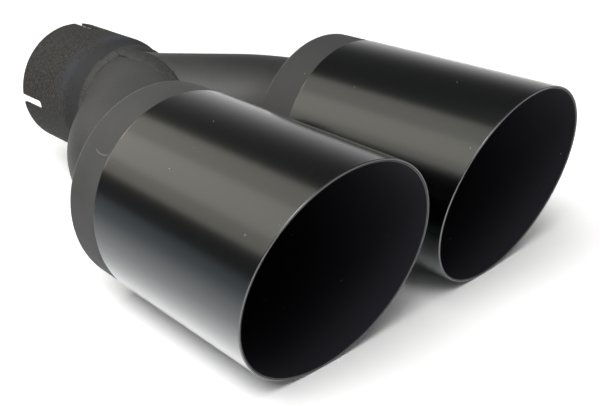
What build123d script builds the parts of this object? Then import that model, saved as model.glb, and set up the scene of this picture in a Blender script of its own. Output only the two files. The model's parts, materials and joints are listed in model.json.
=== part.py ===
# Twin exhaust tip: a slotted inlet collar feeds two bent branch pipes.
# Each branch ends in a capped shell, cut off at a slant.
# Millimetres, +Z up. The origin is the centre of the inlet's mouth.
# The tailpipe goes in from +Y, and the tips point to -Y.
# The right-hand half is modelled, and the left-hand half is its mirror image.
import os
from math import acos, atan2, cos, degrees, hypot, radians, sin, sqrt, tan

from build123d import *

# Inlet collar
bore_d = 70.4
collar_wall = 1.5
collar_length = 59.5
neck_length = 13.5
neck_land = 4.0
slot_width = 5.0
slot_length = 21.0
slot_angles = (1.5, 80.0)

# Branch pipes
pipe_d = 63.5
pipe_wall = 1.5
pipe_insertion = 4.5
bend_setback = 2.0
inlet_bend_inside_r = 6.25
middle_run = 42.0
tip_bend_r = 72.0
tip_gap = 5.5
tip_splay = 1.33
tip_run = 7.8
pipe_stub = 8.0

# End caps
cap_length = 21.3
cap_wall = 1.5
cap_edge_r = 1.0
cap_step = 0.3
lip_length = 8.0

# Tip shells
tip_d = 100.0
tip_wall = 1.2
tip_length = 100.0
slash_angle = 13.0
rim_round = 0.3

# Weld beads and fits
slip_clearance = 0.1
collar_weld_leg = 5.5
collar_weld_lap = 1.4
collar_weld_bulge = 1.3
cap_weld_leg = 3.2
cap_weld_bulge = 0.4
crotch_weld_r = 8.0
crotch_weld_height = 1.6

# Sizes worked out from the ones above
bore_r = bore_d / 2
collar_r = bore_r + collar_wall
pipe_r = pipe_d / 2
bend_flare = inlet_bend_inside_r - sqrt(inlet_bend_inside_r**2 - bend_setback**2)
neck_bore_r = pipe_r + bend_flare + slip_clearance
neck_r = neck_bore_r + collar_wall
tip_r = tip_d / 2
tip_offset = tip_r + tip_gap / 2
bend_start = collar_length - bend_setback
inlet_bend_r = pipe_r + inlet_bend_inside_r
bend_reach = inlet_bend_r + tip_bend_r
bend_drop = inlet_bend_r + tip_bend_r * cos(radians(tip_splay)) - tip_offset
bend_angle = degrees(acos(bend_drop / hypot(bend_reach, middle_run)) - atan2(middle_run, bend_reach))
cap_front = tip_run + cap_length
mouth = cap_front + tip_length


def polyline(points):
    """Straight edges from each point to the next."""
    return [Line(a, b) for a, b in zip(points, points[1:])]


def ring_about_inlet(edges):
    """Turn a closed outline of (radius, depth) about the inlet's axis."""
    depth_plane = Plane(origin=(0, 0, 0), x_dir=(1, 0, 0), z_dir=(0, 0, -1))
    return revolve(depth_plane * make_face(edges), axis=Axis.Y)


def ring_about_tip(edges):
    """Turn a closed outline of (radius, distance towards the mouth) about a tip's axis."""
    return revolve(Plane.XZ * make_face(edges), axis=Axis.Z)


def inlet_collar():
    """Slotted sleeve that slips over the tailpipe, necked down at its front to hold both branch pipes."""
    neck_start = collar_length - neck_length
    land_start = collar_length - neck_land
    level = ((0, 1), (0, 1))
    outer_neck = Spline((collar_r, neck_start), (neck_r, land_start), tangents=level)
    inner_neck = Spline((bore_r, neck_start), (neck_bore_r, land_start), tangents=level)
    mouth_edges = polyline([inner_neck @ 0, (bore_r, 0), (collar_r, 0), outer_neck @ 0])
    front = [(neck_r, collar_length), (neck_bore_r, collar_length)]
    front_edges = polyline([outer_neck @ 1, *front, inner_neck @ 1])
    sleeve = ring_about_inlet([*mouth_edges, outer_neck, *front_edges, inner_neck])
    for angle in slot_angles:
        sleeve -= clamp_slot(angle)
    return sleeve


def clamp_slot(angle):
    """Round-ended cut straight across the collar's mouth, through both walls."""
    side_plane = Plane(origin=(0, 0, 0), x_dir=(0, 1, 0), z_dir=(1, 0, 0))
    cut = extrude(side_plane * SlotOverall(2 * slot_length, slot_width), amount=2 * collar_r, both=True)
    return Rotation(0, -angle, 0) * cut


def branch_path():
    """Right branch's centre line: straight out of the collar, outwards, then back to the tip's direction."""
    lead = Line((0, pipe_insertion - collar_length), (0, -bend_start))
    outward = JernArc(lead @ 1, lead % 1, inlet_bend_r, bend_angle)
    middle = Line(outward @ 1, outward @ 1 + (outward % 1) * middle_run)
    forward = JernArc(middle @ 1, middle % 1, tip_bend_r, tip_splay - bend_angle)
    stub = Line(forward @ 1, forward @ 1 + (forward % 1) * (tip_run + pipe_stub))
    return Wire([lead, outward, middle, forward, stub])


def tip_frame():
    """Right tip's own frame, at the end of its bend: Z runs to the mouth and Y is up."""
    path = branch_path()
    to_mouth = path % 1
    bend_end = path @ 1 - to_mouth * (tip_run + pipe_stub)
    return Plane(origin=bend_end, x_dir=Axis.Z.direction.cross(to_mouth), z_dir=to_mouth)


def branch_bar(radius):
    """Round bar along the right branch, cut off where it meets the left one."""
    path = branch_path()
    section = Plane(origin=path @ 0, z_dir=path % 0) * Circle(radius)
    return split(sweep(section, path=path), bisect_by=Plane.YZ, keep=Keep.TOP)


def branch_pipe():
    """Right branch pipe, open at both ends and along the side where it is mitred to the left one."""
    return branch_bar(pipe_r) - branch_bar(pipe_r - pipe_wall)


def end_cap():
    """Pressed cup that closes the back of a shell, with a stepped-in lip that the shell slips over."""
    hole_r = pipe_r + slip_clearance
    cap_r = tip_r - cap_step
    lip_r = tip_r - tip_wall - slip_clearance
    lip_end = cap_front + lip_length
    plate_front = tip_run + cap_wall
    step_rear = cap_front - cap_wall
    edge = RadiusArc((cap_r - cap_edge_r, tip_run), (cap_r, tip_run + cap_edge_r), -cap_edge_r)
    outside = [edge @ 1, (cap_r, cap_front), (lip_r, cap_front), (lip_r, lip_end)]
    inside = [
        (lip_r - cap_wall, lip_end),
        (lip_r - cap_wall, step_rear),
        (cap_r - cap_wall, step_rear),
        (cap_r - cap_wall, plate_front),
    ]
    plate = [(hole_r, plate_front), (hole_r, tip_run), edge @ 0]
    return ring_about_tip([edge, *polyline([*outside, *inside, *plate])])


def tip_shell():
    """Open round shell, cut off at a slant so that its top reaches furthest forward."""
    reach = mouth + tip_d * tan(radians(slash_angle))
    wall = [(tip_r - tip_wall, cap_front), (tip_r, cap_front), (tip_r, reach), (tip_r - tip_wall, reach)]
    tube = ring_about_tip(polyline([*wall, wall[0]]))
    slash = radians(slash_angle)
    slash_plane = Plane(origin=(0, 0, mouth), x_dir=(1, 0, 0), z_dir=(0, -sin(slash), cos(slash)))
    shell = split(tube, bisect_by=slash_plane, keep=Keep.BOTTOM)
    rim = shell.faces().sort_by(Axis.Z)[-1]
    return fillet(rim.edges(), rim_round)


def cap_weld():
    """Fillet bead in the corner between the pipe and the back of its cap."""
    corner = (pipe_r, tip_run)
    pipe_toe = (pipe_r, tip_run - cap_weld_leg)
    cap_toe = (pipe_r + cap_weld_leg, tip_run)
    face = SagittaArc(pipe_toe, cap_toe, -cap_weld_bulge)
    return ring_about_tip([face, *polyline([cap_toe, corner, pipe_toe])])


def off_branches(bead):
    """The part of a bead that lies outside both branch pipes."""
    bar = branch_bar(pipe_r)
    return bead - bar - mirror(bar, about=Plane.YZ)


def collar_weld():
    """Bead that laps over the collar's front edge onto both branch pipes."""
    root_r = pipe_r - pipe_wall / 2
    pipe_toe = (root_r, collar_length + collar_weld_leg)
    collar_toe = (neck_r, collar_length - collar_weld_lap)
    face = SagittaArc(pipe_toe, collar_toe, collar_weld_bulge)
    root = [(neck_r, collar_length), (root_r, collar_length)]
    return off_branches(ring_about_inlet([face, *polyline([collar_toe, *root, pipe_toe])]))


def crotch_weld():
    """Broad bead over the seam between the two branches, from the collar's bead over the fork and back."""
    mitre = branch_bar(pipe_r).faces().filter_by(Axis.X).sort_by(Axis.X)[0]
    seam = Wire(mitre.edges().filter_by(GeomType.LINE, reverse=True))
    outward = Vector(0, 0, (seam @ 0).Z)
    across = Plane(origin=seam @ 0, x_dir=outward.cross(seam % 0), z_dir=seam % 0)
    section = across * Pos(0, crotch_weld_height - crotch_weld_r) * Circle(crotch_weld_r)
    bead = sweep(section, path=seam)
    bead_start = Plane(origin=(0, -collar_length - collar_weld_leg / 2, 0), z_dir=(0, -1, 0))
    return off_branches(split(bead, bisect_by=bead_start, keep=Keep.TOP)) - collar_weld()


def save(shape, name):
    """Write one piece to its own file."""
    export_step(shape, f"parts/{name}.step")


os.makedirs("parts", exist_ok=True)
save(inlet_collar(), "inlet_collar")
save(collar_weld(), "collar_weld")
save(crotch_weld(), "crotch_weld")
on_tip = tip_frame().location
right_pieces = {
    "branch_pipe": branch_pipe(),
    "end_cap": on_tip * end_cap(),
    "tip_shell": on_tip * tip_shell(),
    "cap_weld": on_tip * cap_weld(),
}
for name, piece in right_pieces.items():
    save(piece, f"{name}_right")
    save(mirror(piece, about=Plane.YZ), f"{name}_left")
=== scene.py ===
import json
from math import cos, pi, radians, sin

import bpy
from mathutils import Matrix, Vector

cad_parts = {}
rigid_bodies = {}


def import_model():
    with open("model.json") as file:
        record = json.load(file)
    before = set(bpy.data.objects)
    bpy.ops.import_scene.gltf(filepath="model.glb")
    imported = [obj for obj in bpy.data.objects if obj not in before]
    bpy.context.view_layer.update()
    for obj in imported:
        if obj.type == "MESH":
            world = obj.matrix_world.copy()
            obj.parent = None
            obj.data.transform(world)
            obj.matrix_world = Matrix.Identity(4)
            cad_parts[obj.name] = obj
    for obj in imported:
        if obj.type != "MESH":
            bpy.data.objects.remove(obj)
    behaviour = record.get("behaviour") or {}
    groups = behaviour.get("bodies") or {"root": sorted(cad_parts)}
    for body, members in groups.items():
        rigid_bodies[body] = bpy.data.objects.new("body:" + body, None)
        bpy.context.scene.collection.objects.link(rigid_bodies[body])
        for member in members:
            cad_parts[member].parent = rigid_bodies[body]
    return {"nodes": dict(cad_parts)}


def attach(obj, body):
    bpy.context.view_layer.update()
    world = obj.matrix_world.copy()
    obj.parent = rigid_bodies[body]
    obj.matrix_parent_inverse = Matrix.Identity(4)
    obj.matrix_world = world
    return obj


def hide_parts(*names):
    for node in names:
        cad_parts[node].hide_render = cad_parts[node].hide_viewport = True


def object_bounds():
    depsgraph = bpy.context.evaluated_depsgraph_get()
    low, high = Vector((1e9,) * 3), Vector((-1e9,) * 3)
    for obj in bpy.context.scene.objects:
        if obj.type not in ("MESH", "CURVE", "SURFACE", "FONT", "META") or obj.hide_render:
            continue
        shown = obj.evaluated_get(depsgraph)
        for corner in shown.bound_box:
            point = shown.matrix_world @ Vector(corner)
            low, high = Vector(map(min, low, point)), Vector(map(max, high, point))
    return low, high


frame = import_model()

cad_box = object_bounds()
bpy.ops.object.select_all(action="DESELECT")


# Inlet collar: a rolled steel sleeve that slips over the tailpipe, with clamp slots cut in its mouth.
# It was blasted before it was painted, so its matte black paint is grainy. Painted shade makes the neck
# pressed down onto the pipes smoother and darker, and a patchy bluish painted highlight lies beside it.
def new_finish(name):
    """A node material, with its shader."""
    finish = bpy.data.materials.new(name)
    finish.use_nodes = True
    return finish, finish.node_tree.nodes["Principled BSDF"]


def add_node(finish, kind, inputs=None, **settings):
    """One node, with its settings made and its sockets set or joined to other nodes."""
    made = finish.node_tree.nodes.new("ShaderNode" + kind)
    for setting, value in settings.items():
        setattr(made, setting, value)
    for socket, value in (inputs or {}).items():
        if isinstance(value, bpy.types.NodeSocket):
            finish.node_tree.links.new(value, made.inputs[socket])
        else:
            made.inputs[socket].default_value = value
    return made


def in_place(finish):
    """A point of the surface, in metres in the part's own frame."""
    return add_node(finish, "TexCoord").outputs["Object"]


def along(finish, point, axis):
    """How far a point lies along one axis."""
    return add_node(finish, "SeparateXYZ", {0: point}).outputs[axis]


def noise(finish, where, size, detail=3.0, rough=0.6):
    """Cloudy grey noise whose patches are about this size in metres."""
    sockets = {"Vector": where, "Scale": 1.0 / size, "Detail": detail, "Roughness": rough}
    return add_node(finish, "TexNoise", sockets).outputs["Fac"]


def stops(finish, value, low, high):
    """Stretches a grey value, from low to high, to run from black to white."""
    sockets = {"Value": value, "From Min": low, "From Max": high}
    return add_node(finish, "MapRange", sockets, interpolation_type="SMOOTHSTEP").outputs["Result"]


def mixed(finish, share, first, second):
    """The first colour where the share is 0, the second where it is 1."""
    made = add_node(finish, "Mix", data_type="RGBA")
    for socket, value in ((made.inputs[0], share), (made.inputs[6], first), (made.inputs[7], second)):
        if isinstance(value, bpy.types.NodeSocket):
            finish.node_tree.links.new(value, socket)
        else:
            socket.default_value = value if isinstance(value, float) else (*value, 1.0)
    return made.outputs[2]


def sums(finish, how, first, second=0.0):
    """Arithmetic on one or two values."""
    return add_node(finish, "Math", {0: first, 1: second}, operation=how).outputs["Value"]


def times(finish, first, second):
    """The product of two values, white only where both are white."""
    return sums(finish, "MULTIPLY", first, second)


def join(finish, output, shader, socket):
    """Feeds an output into the shader."""
    finish.node_tree.links.new(output, shader.inputs[socket])


def bumped(finish, height, depth, strength):
    """A surface raised by this height times the depth in metres."""
    sockets = {"Height": height, "Distance": depth, "Strength": strength}
    return add_node(finish, "Bump", sockets).outputs["Normal"]


def paint_node(name, finish):
    """Puts one finish on a solid of the frame."""
    solid = frame["nodes"][name]
    solid.data.materials.clear()
    solid.data.materials.append(finish)


grit_size = 0.0014
grit_depth = 0.0006
pit_black = (0.006, 0.006, 0.006)
grit_grey = (0.088, 0.085, 0.080)
patch_size = 0.016
patch_share = 0.22
dark_patch = (0.030, 0.030, 0.028)
pale_patch = (0.048, 0.0455, 0.0425)
# Painted highlight: a patchy, lighter bluish band just in front of the neck.
highlight_patch_size = 0.022
highlight_y = (-0.034, -0.050)
highlight_blue = (0.057, 0.0615, 0.078)
# Painted shade: the neck itself darker and without grit.
neck_y = (-0.044, -0.052)
neck_share = 0.8
neck_shade_grey = (0.037, 0.0375, 0.0395)

collar_paint, shader = new_finish("blasted_collar_paint")
where = in_place(collar_paint)
grit = noise(collar_paint, where, grit_size, rough=0.75)
patch = noise(collar_paint, where, patch_size, rough=0.5)
tint = noise(collar_paint, where, highlight_patch_size, detail=2.0, rough=0.5)
gritty = mixed(collar_paint, stops(collar_paint, grit, 0.32, 0.70), pit_black, grit_grey)
patchy = mixed(collar_paint, stops(collar_paint, patch, 0.3, 0.7), dark_patch, pale_patch)
painted = mixed(collar_paint, patch_share, gritty, patchy)
from_mouth = along(collar_paint, where, "Y")
near_weld = stops(collar_paint, from_mouth, *highlight_y)
# The painted highlight beside the neck.
painted_highlight = times(collar_paint, near_weld, stops(collar_paint, tint, 0.40, 0.65))
highlighted = mixed(collar_paint, painted_highlight, painted, highlight_blue)
# The painted shade on the neck.
neck_painted_shade = times(collar_paint, stops(collar_paint, from_mouth, *neck_y), neck_share)
join(collar_paint, mixed(collar_paint, neck_painted_shade, highlighted, neck_shade_grey), shader, "Base Color")
shader.inputs["Specular IOR Level"].default_value = 0.3
join(collar_paint, stops(collar_paint, grit, -0.9, 1.2), shader, "Roughness")
join(collar_paint, bumped(collar_paint, grit, grit_depth, 0.7), shader, "Normal")
paint_node("inlet_collar", collar_paint)


# Branch pipes: two bent steel tubes, mitred together at the fork, welded, and painted in matte black
# that stands heat. The paint is finer than the collar's. Painted shade makes it darker on the
# right-hand pipe and low on the left-hand one.
matte_grain_depth = 0.0001
matte_gloss = 0.375
fleck_share = 0.3


def matte_grain(finish, shader, where, under, fleck, grain_size, rough_stops):
    """Gives a matte paint its fine grain, in gloss and relief, and returns its flecked colour."""
    grain = noise(finish, where, grain_size)
    grainy = mixed(finish, stops(finish, grain, 0.35, 0.7), under, fleck)
    shader.inputs["Specular IOR Level"].default_value = matte_gloss
    join(finish, stops(finish, grain, *rough_stops), shader, "Roughness")
    join(finish, bumped(finish, grain, matte_grain_depth, 0.5), shader, "Normal")
    return mixed(finish, fleck_share, under, grainy)


pipe_grain_size = 0.0007
pipe_rough = (-0.8, 2.0)
pipe_cloud_size = 0.030
pipe_dark = (0.061, 0.061, 0.060)
pipe_pale = (0.075, 0.075, 0.074)
pipe_fleck = (0.102, 0.102, 0.100)
# Painted shade: darker on the right-hand pipe and low on the left-hand one.
right_pipe_x = (-0.010, 0.045)
right_pipe_shade_grey = (0.026, 0.026, 0.027)
left_pipe_x = (0.0, -0.02)
low_side_z = (0.026, 0.0)
low_side_shade_grey = (0.048, 0.048, 0.0475)

pipe_paint, shader = new_finish("matte_pipe_paint")
where = in_place(pipe_paint)
to_right = along(pipe_paint, where, "X")
height = along(pipe_paint, where, "Z")
cloud = noise(pipe_paint, where, pipe_cloud_size)
clouded = mixed(pipe_paint, stops(pipe_paint, cloud, 0.3, 0.7), pipe_dark, pipe_pale)
# Painted shade darkens the right-hand pipe.
right_painted_shade = mixed(pipe_paint, stops(pipe_paint, to_right, *right_pipe_x), clouded, right_pipe_shade_grey)
on_left = stops(pipe_paint, to_right, *left_pipe_x)
# Painted shade darkens the low side of the left-hand pipe.
low_left_shade = times(pipe_paint, stops(pipe_paint, height, *low_side_z), on_left)
low_painted_shade = mixed(pipe_paint, low_left_shade, right_painted_shade, low_side_shade_grey)
flecked = matte_grain(pipe_paint, shader, where, low_painted_shade, pipe_fleck, pipe_grain_size, pipe_rough)
join(pipe_paint, flecked, shader, "Base Color")
for side in ("left", "right"):
    paint_node(f"branch_pipe_{side}", pipe_paint)


# Collar weld: a bead laid by hand right round the collar's front edge, to join it to both pipes. Each
# step of the torch left a small overlapping scale, and the matte paint covers them all. Painted shade
# makes the paint darker on the right-hand half.
scale_jitter = 0.00025
bead_voxel = 0.00036
lump_size = 0.007


def fresh_scale(length, width, height):
    """One scale of a weld bead at the origin, left in edit mode with all of it selected."""
    bpy.ops.object.select_all(action="DESELECT")
    bpy.ops.mesh.primitive_uv_sphere_add(segments=14, ring_count=10, radius=1.0)
    bpy.ops.object.mode_set(mode="EDIT")
    bpy.ops.mesh.select_all(action="SELECT")
    bpy.ops.transform.resize(value=(length / 2, width / 2, height / 2))
    return bpy.context.object


def ring_of_scales(count):
    """Copies the selected scale right round the Y axis."""
    centre, axis = (0.0, 0.0, 0.0), (0.0, 1.0, 0.0)
    bpy.ops.mesh.spin(steps=count, dupli=True, angle=2 * pi, center=centre, axis=axis)


def keep_main_skin(bead):
    """Deletes the specks that came loose from the bead as it melted."""
    bpy.ops.object.mode_set(mode="EDIT")
    bpy.ops.mesh.select_all(action="DESELECT")
    bpy.ops.object.mode_set(mode="OBJECT")
    max(bead.data.vertices, key=lambda point: point.co.z).select = True
    bpy.ops.object.mode_set(mode="EDIT")
    bpy.ops.mesh.select_linked()
    bpy.ops.mesh.select_all(action="INVERT")
    bpy.ops.mesh.delete(type="VERT")
    bpy.ops.object.mode_set(mode="OBJECT")


def fuse_bead(bead, name, lumps, seed):
    """Melts the scales of a bead into one skin, with uneven lumps of this height."""
    bpy.ops.mesh.select_all(action="SELECT")
    bpy.ops.transform.vertex_random(offset=scale_jitter, uniform=1.0, seed=seed)
    bpy.ops.object.mode_set(mode="OBJECT")
    melt = bead.modifiers.new("melt", "REMESH")
    melt.mode = "VOXEL"
    melt.voxel_size = bead_voxel
    flow = bpy.data.textures.new(name + "_flow", "CLOUDS")
    flow.noise_scale = lump_size
    swell = bead.modifiers.new("swell", "DISPLACE")
    swell.texture = flow
    swell.strength = lumps
    settle = bead.modifiers.new("settle", "SMOOTH")
    settle.factor = 0.5
    settle.iterations = 2
    for step in ("melt", "swell", "settle"):
        bpy.ops.object.modifier_apply(modifier=step)
    keep_main_skin(bead)
    bpy.ops.object.shade_smooth()
    bead.name = name


weld_grain_size = 0.0008
weld_rough = (-1.0, 1.5)
soot_size = 0.010
soot_dark = (0.044, 0.044, 0.044)
soot_pale = (0.064, 0.064, 0.0635)
weld_fleck = (0.085, 0.085, 0.084)
# Painted shade: the beads darker on the right-hand side.
right_weld_x = (-0.012, 0.008)
right_weld_shade_grey = (0.038, 0.038, 0.038)

weld_paint, shader = new_finish("painted_weld")
where = in_place(weld_paint)
to_right = along(weld_paint, where, "X")
soot = noise(weld_paint, where, soot_size)
sooty = mixed(weld_paint, stops(weld_paint, soot, 0.3, 0.7), soot_dark, soot_pale)
# Painted shade darkens the beads on the right-hand side.
right_painted_shade = mixed(weld_paint, stops(weld_paint, to_right, *right_weld_x), sooty, right_weld_shade_grey)
flecked = matte_grain(weld_paint, shader, where, right_painted_shade, weld_fleck, weld_grain_size, weld_rough)
join(weld_paint, flecked, shader, "Base Color")


def finish_bead(bead, node):
    """Paints a bead and puts it in the place of its plain solid."""
    bead.data.materials.append(weld_paint)
    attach(bead, "root")
    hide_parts(node)


collar_bead_y = -0.0612
collar_bead_r = 0.0323
collar_bead_tilt = radians(-17.0)
collar_bead = fresh_scale(length=0.0034, width=0.0072, height=0.0034)
bpy.ops.transform.rotate(value=collar_bead_tilt, orient_axis="X", center_override=(0.0, 0.0, 0.0))
bpy.ops.transform.translate(value=(0.0, collar_bead_y, collar_bead_r))
ring_of_scales(112)
fuse_bead(collar_bead, "collar_bead", lumps=0.0011, seed=4)
finish_bead(collar_bead, "collar_weld")


# Fork weld: the broad bead that fills the mitre between the two pipes, from the collar over the crotch
# of the fork and back underneath. Its line is where one pipe's round wall meets the mid-plane.
pipe_r = 0.03175
fork_start_y = -0.0575
fork_weld_start_y = -0.0604
inlet_bend_r = 0.038
fork_angle = radians(40.02)
middle_run = 0.042
bpy.ops.object.select_all(action="DESELECT")
bpy.ops.mesh.primitive_circle_add(
    vertices=128, radius=pipe_r, location=(0.0, fork_start_y, 0.0), rotation=(pi / 2, 0.0, 0.0)
)
bpy.ops.object.transform_apply()
bpy.ops.object.mode_set(mode="EDIT")
bpy.ops.mesh.select_all(action="SELECT")
bend_centre = (inlet_bend_r, fork_start_y, 0.0)
bpy.ops.mesh.spin(steps=40, angle=fork_angle, center=bend_centre, axis=(0.0, 0.0, -1.0))
run = Vector((sin(fork_angle), -cos(fork_angle), 0.0)) * middle_run
bpy.ops.mesh.extrude_region_move(TRANSFORM_OT_translate={"value": run})
bpy.ops.mesh.select_all(action="SELECT")
bpy.ops.mesh.bisect(plane_co=(0.0, fork_weld_start_y, 0.0), plane_no=(0.0, 1.0, 0.0), clear_outer=True)
bpy.ops.mesh.select_all(action="SELECT")
bpy.ops.mesh.bisect(plane_co=(0.0, 0.0, 0.0), plane_no=(1.0, 0.0, 0.0), clear_inner=True)
bpy.ops.mesh.select_all(action="INVERT")
bpy.ops.mesh.delete(type="VERT")
bpy.ops.object.mode_set(mode="OBJECT")
bpy.ops.object.convert(target="CURVE")
seam = bpy.context.object
seam_points = seam.data.splines[0].points
starts_below = seam_points[0].co.z < seam_points[-1].co.z
if starts_below:
    bpy.ops.object.mode_set(mode="EDIT")
    bpy.ops.curve.select_all(action="SELECT")
    bpy.ops.curve.switch_direction()
    bpy.ops.object.mode_set(mode="OBJECT")

fork_scale_overlap = 0.5
fork_bead = fresh_scale(length=0.0036, width=0.0130, height=0.0044)
bpy.ops.object.mode_set(mode="OBJECT")
row = fork_bead.modifiers.new("row", "ARRAY")
row.fit_type = "FIT_CURVE"
row.curve = seam
row.relative_offset_displace = (fork_scale_overlap, 0.0, 0.0)
follow = fork_bead.modifiers.new("follow", "CURVE")
follow.object = seam
for step in ("row", "follow"):
    bpy.ops.object.modifier_apply(modifier=step)
bpy.data.objects.remove(seam)
bpy.ops.object.mode_set(mode="EDIT")
fuse_bead(fork_bead, "fork_bead", lumps=0.0010, seed=7)
finish_bead(fork_bead, "crotch_weld")


# End caps: pressed steel cups welded round each pipe's end, in the same matte paint as the pipes. The
# paint is lighter along the cap's sharp back edge, with a painted highlight on top, and painted shade
# darkens the right-hand cap. The left-hand cap has a short scratch, and a few specks of dust lie on
# both.
tip_bend_end = (0.05275, -0.15872, 0.0)
tip_splay = radians(1.33)


def on_tip_axis(finish, where):
    """A point of either tip, turned to that tip's own axis: X across, Y towards the collar, Z up."""
    place = add_node(finish, "SeparateXYZ", {0: where}).outputs
    mirrored = {"X": sums(finish, "ABSOLUTE", place["X"]), "Y": place["Y"], "Z": place["Z"]}
    both_sides = add_node(finish, "CombineXYZ", mirrored).outputs["Vector"]
    to_axis = {"Vector": both_sides, "Location": tip_bend_end, "Rotation": (0.0, 0.0, tip_splay)}
    return add_node(finish, "Mapping", to_axis, vector_type="TEXTURE").outputs["Vector"]


def vector_sums(finish, how, first, second=(0.0, 0.0, 0.0)):
    """Arithmetic on one or two vectors, as a number for a length or a dot product."""
    made = add_node(finish, "VectorMath", {0: first, 1: second}, operation=how)
    return made.outputs["Value" if how in ("LENGTH", "DOT_PRODUCT") else "Vector"]


def off_axis(finish, on_tip):
    """The way from a tip's axis straight out to a point."""
    return vector_sums(finish, "MULTIPLY", on_tip, (1.0, 0.0, 1.0))


speck_r_in_cells = (0.045, 0.025)


def dust(finish, where, cells_per_metre, share):
    """Round specks in this share of the cells."""
    cells = add_node(finish, "TexVoronoi", {"Vector": where, "Scale": cells_per_metre}).outputs
    chance = add_node(finish, "SeparateColor", {0: cells["Color"]}).outputs["Red"]
    chosen = stops(finish, chance, 1.0 - share, 1.005 - share)
    return times(finish, chosen, stops(finish, cells["Distance"], *speck_r_in_cells))


cap_grain_size = 0.0007
cap_rough = (-1.0, 1.5)
cap_cloud_size = 0.020
cap_dark = (0.065, 0.065, 0.065)
cap_pale = (0.079, 0.079, 0.079)
cap_fleck = (0.105, 0.105, 0.103)
# Painted shade: the right-hand cap darker.
right_cap_x = (-0.010, 0.010)
right_cap_shade_grey = (0.052, 0.052, 0.053)
cap_edge_y = (-0.0094, -0.0085)
cap_edge_r = (0.0486, 0.0491)
edge_line_grey = (0.180, 0.180, 0.177)
# Painted highlight: the back edge lighter still on top, where it catches the light.
cap_top_z = (0.040, 0.048)
top_highlight_grey = (0.24, 0.24, 0.235)
scratch_middle_y = -0.0227
scratch_low_z = 0.03090
scratch_bow = 34.6
scratch_half_width = (0.00032, 0.00008)
scratch_half_length = (0.0051, 0.0046)
scratch_side_x = (-0.060, -0.070)
scratch_grey = (0.17, 0.17, 0.167)
cap_dust_grey = (0.45, 0.45, 0.435)

cap_paint, shader = new_finish("matte_cap_paint")
where = in_place(cap_paint)
to_right = along(cap_paint, where, "X")
cloud = noise(cap_paint, where, cap_cloud_size)
clouded = mixed(cap_paint, stops(cap_paint, cloud, 0.3, 0.7), cap_dark, cap_pale)
# Painted shade darkens the right-hand cap.
right_painted_shade = mixed(cap_paint, stops(cap_paint, to_right, *right_cap_x), clouded, right_cap_shade_grey)
flecked = matte_grain(cap_paint, shader, where, right_painted_shade, cap_fleck, cap_grain_size, cap_rough)

on_tip = on_tip_axis(cap_paint, where)
tip_y = along(cap_paint, on_tip, "Y")
tip_z = along(cap_paint, on_tip, "Z")
from_axis = vector_sums(cap_paint, "LENGTH", off_axis(cap_paint, on_tip))
at_back = stops(cap_paint, tip_y, *cap_edge_y)
at_edge = times(cap_paint, at_back, stops(cap_paint, from_axis, *cap_edge_r))
edge_line = times(cap_paint, at_edge, stops(cap_paint, cloud, 0.25, 0.6))
edged = mixed(cap_paint, edge_line, flecked, edge_line_grey)
# Painted highlight along the top of the back edge.
top_highlight = times(cap_paint, at_edge, stops(cap_paint, tip_z, *cap_top_z))
topped = mixed(cap_paint, top_highlight, edged, top_highlight_grey)

along_scratch = sums(cap_paint, "SUBTRACT", tip_y, scratch_middle_y)
bow = times(cap_paint, times(cap_paint, along_scratch, along_scratch), scratch_bow)
off_scratch = sums(cap_paint, "SUBTRACT", tip_z, sums(cap_paint, "ADD", bow, scratch_low_z))
thin = stops(cap_paint, sums(cap_paint, "ABSOLUTE", off_scratch), *scratch_half_width)
short = stops(cap_paint, sums(cap_paint, "ABSOLUTE", along_scratch), *scratch_half_length)
outer_left = stops(cap_paint, to_right, *scratch_side_x)
scratch = times(cap_paint, times(cap_paint, outer_left, thin), short)
scratched = mixed(cap_paint, scratch, topped, scratch_grey)
specks = dust(cap_paint, where, cells_per_metre=160.0, share=0.25)
join(cap_paint, mixed(cap_paint, specks, scratched, cap_dust_grey), shader, "Base Color")
for side in ("left", "right"):
    paint_node(f"end_cap_{side}", cap_paint)


# Cap welds: the beads in the corner between each pipe and the back of its cap, in the same paint as the
# other beads. They are laid alike, and the left one is the mirror image of the right one.
cap_bead_r = 0.0327
cap_bead_setback = 0.0009
cap_back = (0.05293, -0.16652, 0.0)
right_bead = fresh_scale(length=0.0030, width=0.0044, height=0.0044)
bpy.ops.transform.translate(value=(0.0, cap_bead_setback, cap_bead_r))
ring_of_scales(124)
fuse_bead(right_bead, "cap_bead_right", lumps=0.0008, seed=11)
right_bead.location = cap_back
right_bead.rotation_euler = (0.0, 0.0, tip_splay)
bpy.ops.object.transform_apply()
bpy.ops.object.duplicate()
left_bead = bpy.context.object
left_bead.name = "cap_bead_left"
left_bead.scale = (-1.0, 1.0, 1.0)
bpy.ops.object.transform_apply()
bpy.ops.object.mode_set(mode="EDIT")
bpy.ops.mesh.select_all(action="SELECT")
bpy.ops.mesh.normals_make_consistent(inside=False)
bpy.ops.object.mode_set(mode="OBJECT")
finish_bead(right_bead, "cap_weld_right")
finish_bead(left_bead, "cap_weld_left")


# Tip shells: rolled steel tubes cut off at a slant and coated in satin black over a dark metal.
# The outside is smooth enough to mirror its surroundings softly, the inside is plain matte black, and
# the coating is chipped to bare steel along the edge that meets the cap. A painted highlight lines the
# cut.
shell_outside_r = (0.0492, 0.0496)
outer_edge_r = (0.04955, 0.04985)
inner_edge_r = (0.04920, 0.04895)
slash = radians(13.0)
mouth_distance = 0.1291
cut_depth = cos(slash) * mouth_distance
cut_face_depth = (cut_depth - 0.0004, cut_depth - 0.0002)
rear_edge_y = (-0.0298, -0.0294)
chip_size = 0.012
inside_black = (0.0265, 0.0245, 0.0315)
satin_black = (0.0555, 0.0605, 0.0640)
# A grey for the painted highlight along the cut and for the worn chips at the back edge.
highlight_and_wear_grey = (0.16, 0.16, 0.158)
chip_grey = (0.28, 0.28, 0.275)
shell_dust_grey = (0.50, 0.50, 0.485)
matte_roughness = (0.75, 0.75, 0.75)
satin_roughness = (0.21, 0.21, 0.21)

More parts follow.
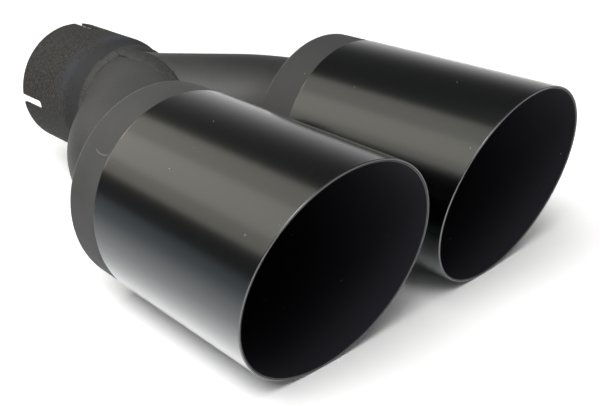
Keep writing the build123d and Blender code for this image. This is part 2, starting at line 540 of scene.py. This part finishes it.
shell_coat, shader = new_finish("satin_shell_coating")
where = in_place(shell_coat)
on_tip = on_tip_axis(shell_coat, where)
away = off_axis(shell_coat, on_tip)
from_axis = vector_sums(shell_coat, "LENGTH", away)
outside = stops(shell_coat, from_axis, *shell_outside_r)
beyond = vector_sums(shell_coat, "DOT_PRODUCT", on_tip, (0.0, -cos(slash), -sin(slash)))
cut_face = stops(shell_coat, beyond, *cut_face_depth)
outer_edge = stops(shell_coat, from_axis, *outer_edge_r)
inner_edge = stops(shell_coat, from_axis, *inner_edge_r)
# Painted highlight: a lighter line along both edges of the cut.
cut_edge_highlight = times(shell_coat, cut_face, sums(shell_coat, "MAXIMUM", outer_edge, inner_edge))
rear_edge = stops(shell_coat, along(shell_coat, on_tip, "Y"), *rear_edge_y)
cloud = noise(shell_coat, where, chip_size)
chipped = times(shell_coat, rear_edge, stops(shell_coat, cloud, 0.46, 0.66))
chips = times(shell_coat, chipped, outside)
highlight_and_wear = sums(shell_coat, "MAXIMUM", cut_edge_highlight, chips)
coated = mixed(shell_coat, outside, inside_black, satin_black)
highlit_and_chipped = mixed(shell_coat, chips, mixed(shell_coat, highlight_and_wear, coated, highlight_and_wear_grey), chip_grey)
large_specks = dust(shell_coat, where, cells_per_metre=160.0, share=0.35)
small_specks = dust(shell_coat, where, cells_per_metre=420.0, share=0.20)
specks = sums(shell_coat, "MAXIMUM", large_specks, small_specks)
join(shell_coat, mixed(shell_coat, specks, highlit_and_chipped, shell_dust_grey), shader, "Base Color")
join(shell_coat, sums(shell_coat, "SUBTRACT", outside, specks), shader, "Metallic")
unspoilt = sums(shell_coat, "SUBTRACT", 1.0, sums(shell_coat, "MAXIMUM", highlight_and_wear, specks))
join(shell_coat, times(shell_coat, outside, unspoilt), shader, "Coat Weight")
shader.inputs["Coat Roughness"].default_value = 0.2
shader.inputs["Specular IOR Level"].default_value = 0.15
join(shell_coat, mixed(shell_coat, outside, matte_roughness, satin_roughness), shader, "Roughness")

# The outer wall is shaded as a true round, so that the seam of its mesh leaves no line in reflections.
straight_out = vector_sums(shell_coat, "NORMALIZE", away)
away_on_tip = add_node(shell_coat, "SeparateXYZ", {0: straight_out}).outputs
left_or_right = sums(shell_coat, "SIGN", along(shell_coat, where, "X"))
turned_back = {
    "X": times(shell_coat, away_on_tip["X"], left_or_right),
    "Y": times(shell_coat, away_on_tip["X"], sin(tip_splay)),
    "Z": away_on_tip["Z"],
}
outward = add_node(shell_coat, "CombineXYZ", turned_back).outputs["Vector"]
facing = add_node(shell_coat, "NewGeometry").outputs["Normal"]
agreement = vector_sums(shell_coat, "DOT_PRODUCT", facing, outward)
true_round = mixed(shell_coat, stops(shell_coat, agreement, 0.97, 0.99), facing, outward)
join(shell_coat, true_round, shader, "Normal")
join(shell_coat, true_round, shader, "Coat Normal")
for side in ("left", "right"):
    paint_node(f"tip_shell_{side}", shell_coat)


# Floor: a white photographer's table, wide enough to fill the view behind the part. The camera and
# mirrors see it whiter than it is lit. Mirrors also see its far left side fall off to a cool grey, and
# a whiter band close to the left-hand shell.
table_r = 2.0
table_white = (0.97, 0.97, 0.97)
far_grey = (0.29, 0.315, 0.335)
to_far_left = (-0.91, 0.415, 0.0)
fall_off_zone = (-0.08, 0.28)
band_left_edge = (0.06, -0.02)
band_right_edge = (-0.22, -0.10)
whiter_in_view = 0.5
whiter_in_mirror = 0.35
whiter_in_band = 0.5
table_place = (0.0, -0.18, cad_box[0].z)
bpy.ops.mesh.primitive_circle_add(vertices=128, radius=table_r, fill_type="NGON", location=table_place)
bpy.ops.object.transform_apply(location=True)
floor = bpy.context.object
floor.name = "floor"

floor_white, shader = new_finish("floor_white")
seen_by = add_node(floor_white, "LightPath").outputs
to_mirror = seen_by["Is Glossy Ray"]
far_left = vector_sums(floor_white, "DOT_PRODUCT", in_place(floor_white), to_far_left)
greyed = times(floor_white, stops(floor_white, far_left, *fall_off_zone), to_mirror)
faded = mixed(floor_white, greyed, table_white, far_grey)
join(floor_white, faded, shader, "Base Color")
shader.inputs["Roughness"].default_value = 1.0
shader.inputs["Specular IOR Level"].default_value = 0.0
within_left_edge = stops(floor_white, far_left, *band_left_edge)
band = times(floor_white, within_left_edge, stops(floor_white, far_left, *band_right_edge))
mirrored_share = sums(floor_white, "ADD", times(floor_white, band, whiter_in_band), whiter_in_mirror)
in_mirror = times(floor_white, mirrored_share, to_mirror)
in_view = times(floor_white, seen_by["Is Camera Ray"], whiter_in_view)
whiter = mixed(floor_white, sums(floor_white, "MAXIMUM", in_view, in_mirror), (0.0, 0.0, 0.0), faded)
overlay = add_node(floor_white, "BsdfDiffuse", {"Color": whiter}).outputs["BSDF"]
lifted = add_node(floor_white, "AddShader", {0: shader.outputs["BSDF"], 1: overlay}).outputs["Shader"]
join(floor_white, lifted, floor_white.node_tree.nodes["Material Output"], "Surface")
floor.data.materials.append(floor_white)


# Light: a room with a bright wall high at the front left, a dimmer ceiling and right wall, and a white
# surround that only the camera sees. Two soft boxes light the part from the left and above. Two long
# ones, one within the other, hang over the left-hand shell only to be mirrored in its coating.
room = bpy.data.worlds.new("studio_room")
bpy.context.scene.world = room
room.use_nodes = True
toward = add_node(room, "SeparateXYZ", {0: add_node(room, "TexCoord").outputs["Generated"]}).outputs


def wall(axis, dark, bright):
    """Share of light by direction along one axis."""
    return stops(room, toward[axis], dark, bright)


ceiling_level = 0.53
front_left_level = 4.2
front_level = 0.033
right_level = 0.5
dimmest_level = 0.08
room_white = (1.0, 0.996, 0.988, 1.0)
ceiling = times(room, wall("Z", 0.84, 0.96), ceiling_level)
left_side = times(room, wall("X", 0.0, -0.5), times(room, wall("Y", 0.45, 0.05), wall("Y", -1.0, -0.3)))
front_left = times(room, times(room, left_side, wall("Z", 0.55, 0.82)), front_left_level)
front = times(room, wall("Y", 0.1, -0.5), front_level)
right_wall = times(room, times(room, wall("X", -0.3, 0.5), wall("Z", 0.6, 0.0)), right_level)
lit = sums(room, "ADD", sums(room, "ADD", ceiling, front_left), sums(room, "ADD", front, right_wall))
to_camera = add_node(room, "LightPath").outputs["Is Camera Ray"]
level = sums(room, "MAXIMUM", sums(room, "ADD", lit, dimmest_level), to_camera)
backdrop = room.node_tree.nodes["Background"]
backdrop.inputs["Color"].default_value = room_white
join(room, level, backdrop, "Strength")


def soft_box(name, place, aim, width, radiance):
    """A square soft box that lights the part and isn't seen itself."""
    lamp = bpy.data.lights.new(name, "AREA")
    lamp.size = width
    lamp.energy = radiance * pi * width**2
    box = bpy.data.objects.new(name, lamp)
    box.location = place
    box.rotation_euler = (Vector(aim) - Vector(place)).to_track_quat("-Z", "Y").to_euler()
    box.visible_camera = False
    bpy.context.scene.collection.objects.link(box)


strip_length = 0.85
strip_tilt = radians(-10.0)
strip_warmth = (1.0, 0.94, 0.81)


def strip_box(name, place, width, radiance):
    """A long soft box above the left-hand shell that only mirrors show."""
    lamp = bpy.data.lights.new(name, "AREA")
    lamp.shape = "RECTANGLE"
    lamp.size = width
    lamp.size_y = strip_length
    lamp.color = strip_warmth
    lamp.energy = radiance * pi * lamp.size * lamp.size_y
    box = bpy.data.objects.new(name, lamp)
    box.location = place
    box.rotation_euler = (0.0, strip_tilt, 0.0)
    box.visible_camera = False
    box.visible_diffuse = False
    bpy.context.scene.collection.objects.link(box)


soft_box("front_box", place=(-0.85, -0.90, 1.45), aim=(-0.05, -0.25, 0.0), width=0.4, radiance=8.2)
soft_box("side_box", place=(-0.46, -0.33, 0.56), aim=(-0.05, -0.18, 0.0), width=0.36, radiance=2.7)
strip_box("wide_strip_box", place=(-0.3375, 0.30, 0.3155), width=0.634, radiance=0.95)
strip_box("narrow_strip_box", place=(-0.29, 0.30, 0.324), width=0.24, radiance=0.5)


# Camera: where the photograph was taken from, in front of the left-hand tip, to the left and above.
# It looks back and down over the part, and is tilted a little to one side.
camera_place = Vector((-0.28267, -0.51537, 0.18503))
camera_yaw = -0.73809
camera_pitch = 0.44670
camera_roll = -0.02899
level_reach = cos(camera_pitch)
back = Vector((sin(camera_yaw) * level_reach, -cos(camera_yaw) * level_reach, sin(camera_pitch)))
level_right = (-back).cross(Vector((0.0, 0.0, 1.0))).normalized()
level_up = level_right.cross(-back)
right = cos(camera_roll) * level_right + sin(camera_roll) * level_up
up = cos(camera_roll) * level_up - sin(camera_roll) * level_right
lens = bpy.data.cameras.new("photo_camera")
lens.sensor_width = 36.0
lens.lens = 56.96
lens.clip_start = 0.01
camera = bpy.data.objects.new("photo_camera", lens)
bpy.context.scene.collection.objects.link(camera)
camera.matrix_world = Matrix((right, up, back)).transposed().to_4x4()
camera.location = camera_place
bpy.context.scene.camera = camera
bpy.context.scene.view_settings.view_transform = "Standard"
